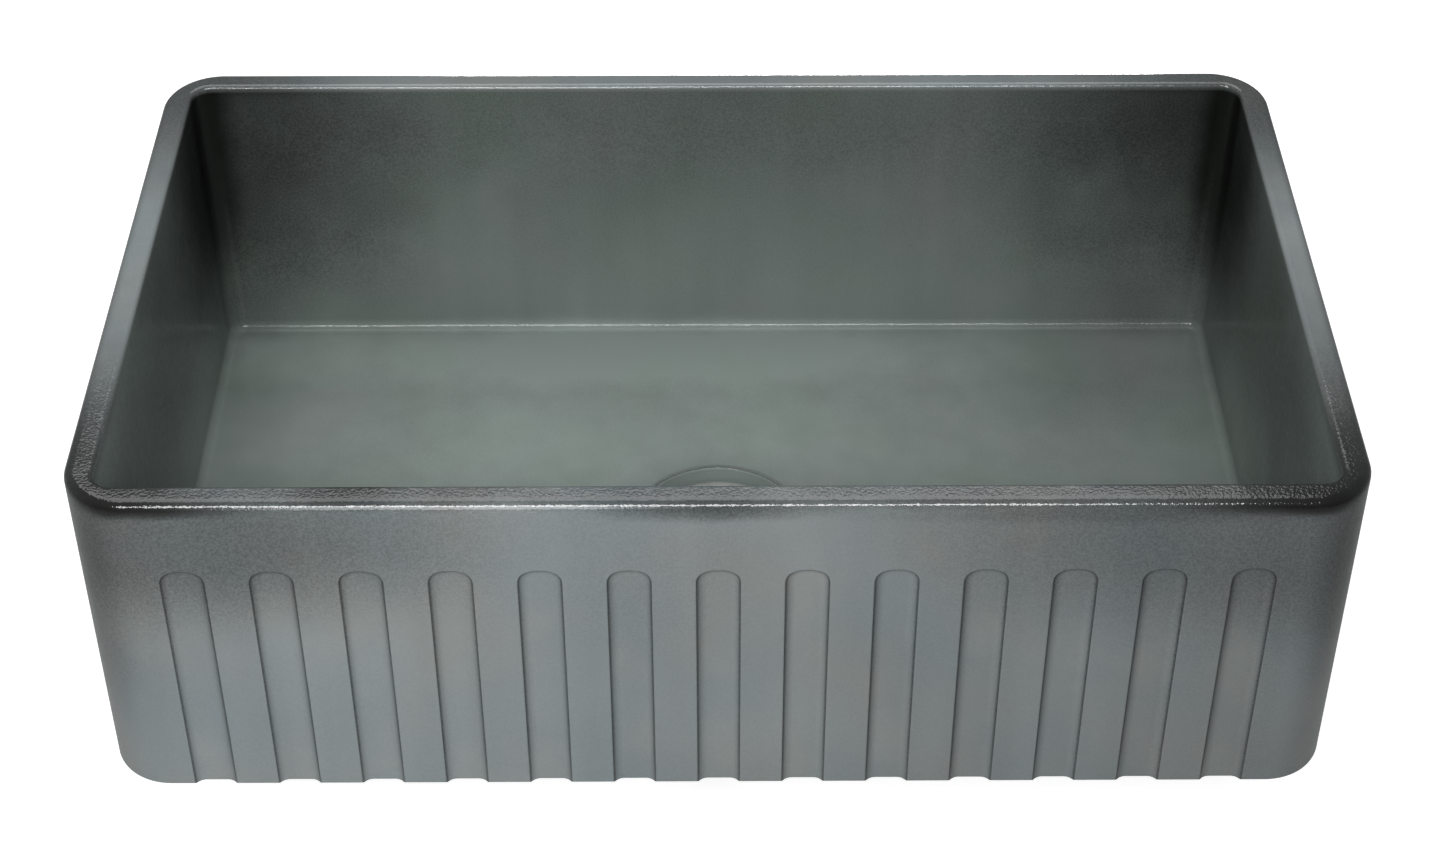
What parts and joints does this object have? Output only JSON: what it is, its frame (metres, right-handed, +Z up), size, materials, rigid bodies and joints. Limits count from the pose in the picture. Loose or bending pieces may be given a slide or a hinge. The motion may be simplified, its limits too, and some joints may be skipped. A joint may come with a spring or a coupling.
{
  "type": "farmhouse apron front sink",
  "caption": "Deep fireclay kitchen sink with a fluted apron front and a lift-out basket strainer in its floor drain.",
  "frame": {"origin": "centre of the basin's flat underside, which rests on the cabinet's support; the drain hangs below it", "axes": "+X along the length to the viewer's right, -Y out of the fluted apron towards the user, +Z up"},
  "size_m": [0.838, 0.502, 0.426],
  "materials": {
    "glazed_fireclay": "satin",
    "satin_steel": "satin",
    "turned_brass": "satin",
    "chromed_brass": "polished",
    "cast_zinc": "satin",
    "black_rubber": "matte",
    "sealing_putty": "matte",
    "pressed_fibre": "matte",
    "white_polymer": "satin"
  },
  "bodies": {
    "root": {"basin": "glazed_fireclay", "strainer_cup": "satin_steel", "outlet_nipple": "turned_brass", "outlet_cross": "satin_steel", "flange_seal": "sealing_putty", "rubber_gasket": "black_rubber", "friction_washer": "pressed_fibre", "locknut": "cast_zinc", "tailpiece_washer": "white_polymer", "tailpiece": "chromed_brass", "coupling_nut": "chromed_brass"},
    "stopper_assembly": {"basket_post": "turned_brass", "basket_knob": "chromed_brass", "basket_stopper": "black_rubber", "stopper_backing_washer": "satin_steel", "post_nut": "turned_brass", "spring_clip": "satin_steel"},
    "basket": {"basket_cup": "satin_steel"}
  },
  "joints": [
    {"name": "basket_lift", "type": "slide", "parent": "root", "child": "stopper_assembly", "axis": [0, 0, 1], "range_m": [0, 0.32]},
    {"name": "basket_turn", "type": "hinge", "parent": "stopper_assembly", "child": "basket", "pos_m": [0, -0.008, -0.032], "axis": [0, 0, 1], "continuous": true}
  ]
}
